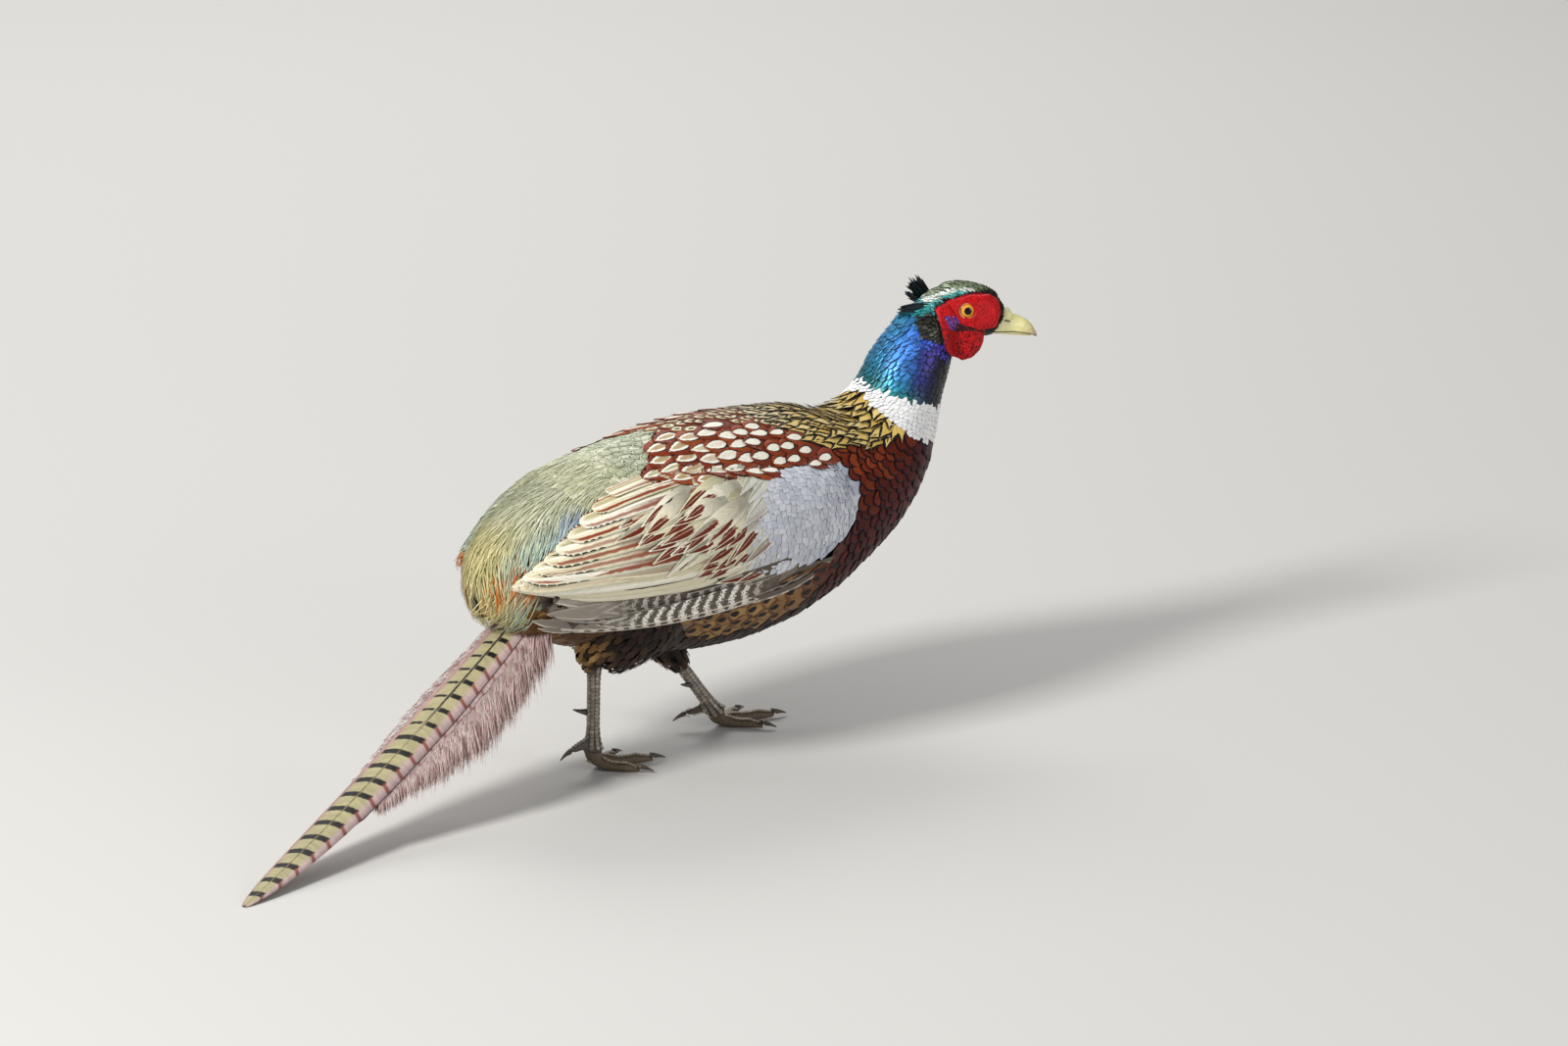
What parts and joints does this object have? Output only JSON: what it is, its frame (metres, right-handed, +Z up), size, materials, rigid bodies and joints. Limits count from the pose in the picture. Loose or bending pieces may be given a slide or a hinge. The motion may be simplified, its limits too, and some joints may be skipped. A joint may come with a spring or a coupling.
{
  "type": "common pheasant",
  "caption": "Life-size still model of a ring-necked cock pheasant in mid stride, head turned to its right, wings folded and long tail trailing to the floor.",
  "frame": {"origin": "middle of the model's box, on the floor, below the rear of the trunk", "axes": "+X forward along the trunk from rump to breast, +Y to the bird's left, +Z up"},
  "size_m": [0.6888, 0.18, 0.2757],
  "materials": {
    "body_feathers": "overlapping body feathers with a soft sheen, copper on the breast and grey-green on the rump",
    "neck_feathers": "iridescent blue, violet and green scale feathers above a white ring",
    "wing_feathers": "smooth lavender-grey coverts, and cream and chestnut streaked larger feathers",
    "flight_feathers": "stiff grey-brown vanes with pale bars",
    "tail_feathers": "long buff-olive vanes with black bars and loose mauve fringes",
    "thigh_feathers": "loose soft brown feathers",
    "red_face_skin": "bare red skin covered in small papillae",
    "bill_horn": "smooth pale horn",
    "eye": "wet and clear over an orange iris",
    "leg_scales": "dry grey scutes",
    "claw_horn": "dull dark horn"
  },
  "bodies": {
    "root": {"trunk": "body_feathers", "neck": "neck_feathers", "head": "neck_feathers", "ear_tuft_right": "neck_feathers", "ear_tuft_left": "neck_feathers", "wattle_right": "red_face_skin", "wattle_left": "red_face_skin", "eye_right": "eye", "eye_left": "eye", "bill_upper": "bill_horn", "bill_lower": "bill_horn", "wing_right": "wing_feathers", "wing_left": "wing_feathers", "primaries_right": "flight_feathers", "primaries_left": "flight_feathers", "tail_middle": "tail_feathers", "tail_right": "tail_feathers", "tail_left": "tail_feathers", "thigh_right": "thigh_feathers", "thigh_left": "thigh_feathers", "shank_right": "leg_scales", "shank_left": "leg_scales", "toe_inner_right": "leg_scales", "toe_middle_right": "leg_scales", "toe_outer_right": "leg_scales", "toe_hind_right": "leg_scales", "toe_inner_left": "leg_scales", "toe_middle_left": "leg_scales", "toe_outer_left": "leg_scales", "toe_hind_left": "leg_scales", "claw_inner_right": "claw_horn", "claw_middle_right": "claw_horn", "claw_outer_right": "claw_horn", "claw_hind_right": "claw_horn", "claw_inner_left": "claw_horn", "claw_middle_left": "claw_horn", "claw_outer_left": "claw_horn", "claw_hind_left": "claw_horn", "spur_right": "claw_horn", "spur_left": "claw_horn"}
  },
  "joints": []
}
